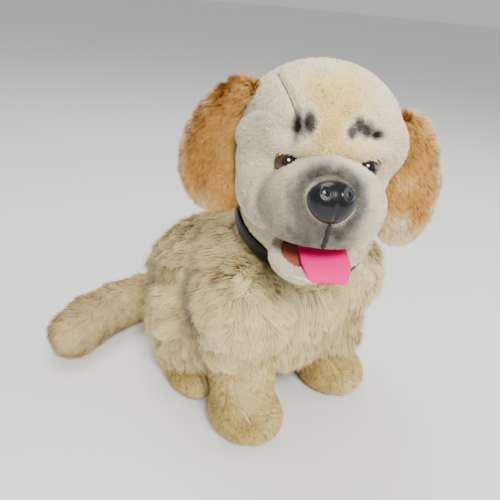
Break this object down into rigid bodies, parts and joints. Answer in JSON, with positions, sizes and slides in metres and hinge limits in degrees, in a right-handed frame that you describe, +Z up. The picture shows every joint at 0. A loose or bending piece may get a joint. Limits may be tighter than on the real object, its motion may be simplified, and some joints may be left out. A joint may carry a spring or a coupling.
{
  "type": "interactive plush pet",
  "caption": "Seated stuffed puppy toy with motorised turning head, opening mouth and wagging tail, collar, hidden works and a battery hatch under the seat",
  "frame": {"origin": "on the floor, under the middle of the whole part's footprint", "axes": "+Z up, the puppy faces -Y, its left side is +X"},
  "size_m": [0.1874, 0.2438, 0.2423],
  "materials": {
    "cream_pile": "matte",
    "short_pile": "matte",
    "tan_pile": "matte",
    "paw_pile": "matte",
    "tongue_felt": "matte",
    "mouth_felt": "matte",
    "collar_vinyl": "satin",
    "black_gloss": "gloss",
    "eye_brown": "gloss",
    "shell_plastic": "matte",
    "dark_plastic": "matte",
    "gear_plastic": "matte",
    "motor_can": "brushed",
    "steel": "brushed",
    "cell_wrap": "gloss",
    "board": "satin"
  },
  "bodies": {
    "torso": {"torso_plush": "cream_pile", "front_leg_right": "cream_pile", "front_leg_left": "cream_pile", "haunch_right": "cream_pile", "haunch_left": "cream_pile", "front_paw_right": "paw_pile", "front_paw_left": "paw_pile", "hind_paw_right": "paw_pile", "hind_paw_left": "paw_pile", "collar_strap": "collar_vinyl", "chassis_left": "shell_plastic", "chassis_right": "shell_plastic", "chassis_screws": "steel", "neck_bush": "gear_plastic", "head_motor": "motor_can", "tail_motor": "motor_can", "battery_box": "dark_plastic", "cell_front": "cell_wrap", "cell_middle": "cell_wrap", "cell_rear": "cell_wrap", "contact_plates": "steel", "contact_springs": "steel", "power_switch_case": "dark_plastic", "paw_switch_case": "dark_plastic", "speaker": "dark_plastic", "circuit_board": "board"},
    "head": {"neck_shaft": "gear_plastic", "jaw_motor": "motor_can", "head_frame": "shell_plastic", "jaw_pin": "steel", "head_shell": "shell_plastic", "head_plush": "short_pile", "muzzle_plush": "short_pile", "mouth_lining": "mouth_felt", "eye_right": "eye_brown", "eye_left": "eye_brown", "nose": "black_gloss", "lock_washers": "steel", "ear_right": "tan_pile", "ear_left": "tan_pile"},
    "jaw": {"tongue": "tongue_felt", "jaw_lining": "mouth_felt", "jaw_frame": "gear_plastic", "jaw_plush": "short_pile"},
    "tail": {"tail_core": "gear_plastic", "tail_plush": "paw_pile"},
    "neck_drive": {"neck_pinion": "gear_plastic"},
    "tail_drive": {"tail_pinion": "gear_plastic"},
    "jaw_drive": {"jaw_pinion": "gear_plastic"},
    "door": {"battery_door": "dark_plastic", "door_screw": "steel"},
    "slider": {"power_slider": "dark_plastic"},
    "paw_button": {"paw_plunger": "gear_plastic"}
  },
  "joints": [
    {"name": "neck_turn", "type": "hinge", "parent": "torso", "child": "head", "pos_m": [0.02378, -0.04391, 0.108], "axis": [0, 0, 1], "range_deg": [-4, 78]},
    {"name": "jaw_close", "type": "hinge", "parent": "head", "child": "jaw", "pos_m": [-0.00561, -0.0802, 0.1686], "axis": [-0.7771, 0.6293, 0], "range_deg": [-3, 12]},
    {"name": "tail_wag", "type": "hinge", "parent": "torso", "child": "tail", "pos_m": [0.02378, 0.06609, 0.022], "axis": [0, 0, -1], "range_deg": [-6, 54]},
    {"name": "neck_pinion_spin", "type": "hinge", "parent": "torso", "child": "neck_drive", "pos_m": [0.02378, -0.02191, 0.089], "axis": [0, 0, 1], "range_deg": [-210, 12]},
    {"name": "tail_pinion_spin", "type": "hinge", "parent": "torso", "child": "tail_drive", "pos_m": [0.02378, 0.04809, 0.035], "axis": [0, 0, -1], "range_deg": [-110, 14]},
    {"name": "jaw_pinion_spin", "type": "hinge", "parent": "head", "child": "jaw_drive", "pos_m": [0.00705, -0.08046, 0.19758], "axis": [-0.7771, 0.6293, 0], "range_deg": [-50, 14]},
    {"name": "door_slide", "type": "slide", "parent": "torso", "child": "door", "axis": [0, 1, 0], "range_m": [0, 0.046]},
    {"name": "power_slide", "type": "slide", "parent": "torso", "child": "slider", "axis": [1, 0, 0], "range_m": [-0.0022, 0.0022]},
    {"name": "paw_press", "type": "slide", "parent": "torso", "child": "paw_button", "axis": [0, 0, -1], "range_m": [0, 0.0015], "stiffness_N_per_m": 150, "springref_m": -0.002}
  ],
  "couplings": [
    {"joint": "neck_pinion_spin", "follows": "neck_turn", "ratio": -2.6667},
    {"joint": "tail_pinion_spin", "follows": "tail_wag", "ratio": -2},
    {"joint": "jaw_pinion_spin", "follows": "jaw_close", "ratio": -4}
  ]
}
